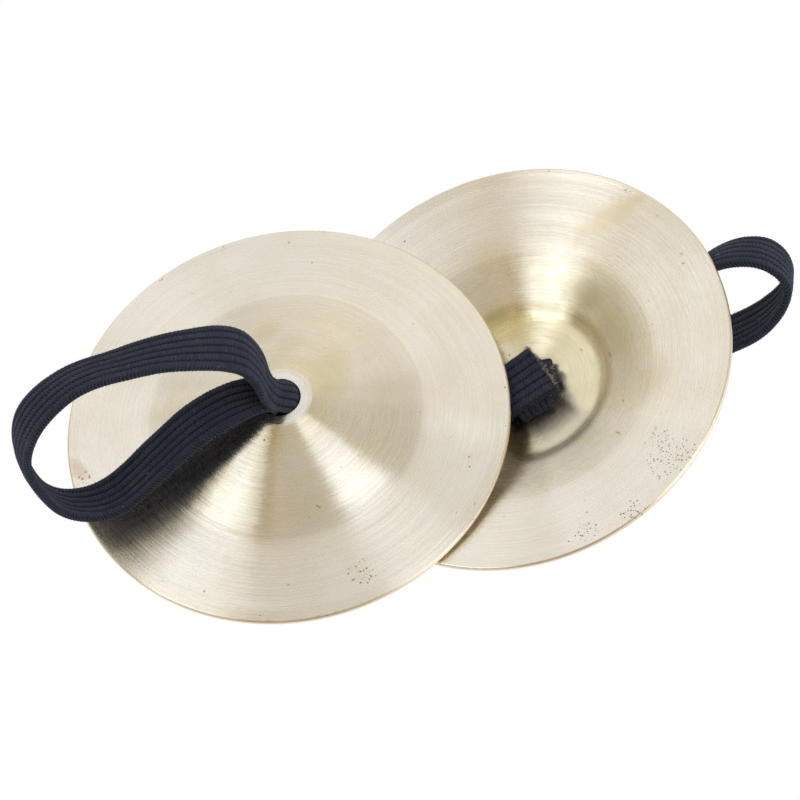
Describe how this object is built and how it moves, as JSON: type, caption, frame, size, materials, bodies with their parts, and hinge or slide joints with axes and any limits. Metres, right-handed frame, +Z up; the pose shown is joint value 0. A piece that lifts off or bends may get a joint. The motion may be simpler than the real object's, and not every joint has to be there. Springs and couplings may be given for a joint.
{
  "type": "finger cymbals",
  "caption": "Pair of flanged brass finger cymbals, each with a braided elastic finger loop knotted through its centre hole, resting one over the other.",
  "frame": {"origin": "point on the table under the middle of the pair, at the height of the lowest point", "axes": "+Z up from the table, +X from the left cymbal (hollow down) to the right cymbal (hollow up), +Y away from the viewer"},
  "size_m": [0.1054, 0.0654, 0.0279],
  "materials": {
    "brass": "satin, lathe-turned rings, pale champagne colour with faint tarnish",
    "braid": "matte navy-black braided elastic with lengthwise ribs",
    "rubber": "matte natural latex thread"
  },
  "bodies": {
    "right_cymbal": {"right_cymbal": "brass"},
    "right_strap": {"right_strap_neck": "braid", "right_knot": "braid", "right_strap_ends": "braid", "right_end_threads": "rubber"},
    "right_loop": {"right_finger_loop": "braid", "right_loop_threads": "rubber"},
    "left_cymbal": {"left_cymbal": "brass"},
    "left_strap": {"left_strap_neck": "braid", "left_knot": "braid", "left_strap_ends": "braid", "left_end_threads": "rubber"},
    "left_loop": {"left_finger_loop": "braid", "left_loop_threads": "rubber"}
  },
  "joints": [
    {"name": "pair_lift", "type": "slide", "parent": "right_cymbal", "child": "left_cymbal", "axis": [-0.1491, -0.012, 0.9888], "range_m": [0, 0.05]},
    {"name": "left_strap_swivel", "type": "hinge", "parent": "left_cymbal", "child": "left_strap", "pos_m": [-0.01615, -0.00284, 0.01203], "axis": [-0.1491, -0.012, 0.9888], "continuous": true},
    {"name": "left_loop_fold", "type": "hinge", "parent": "left_strap", "child": "left_loop", "pos_m": [-0.01648, -0.00287, 0.01421], "axis": [-0.0802, 0.9968, 0], "range_deg": [0, 90]},
    {"name": "right_strap_swivel", "type": "hinge", "parent": "right_cymbal", "child": "right_strap", "pos_m": [0.01722, 0.00304, 0.00362], "axis": [0.2747, 0.0381, -0.9608], "continuous": true},
    {"name": "right_loop_fold", "type": "hinge", "parent": "right_strap", "child": "right_loop", "pos_m": [0.01782, 0.00313, 0.00151], "axis": [-0.1374, 0.9905, 0], "range_deg": [0, 90]}
  ]
}
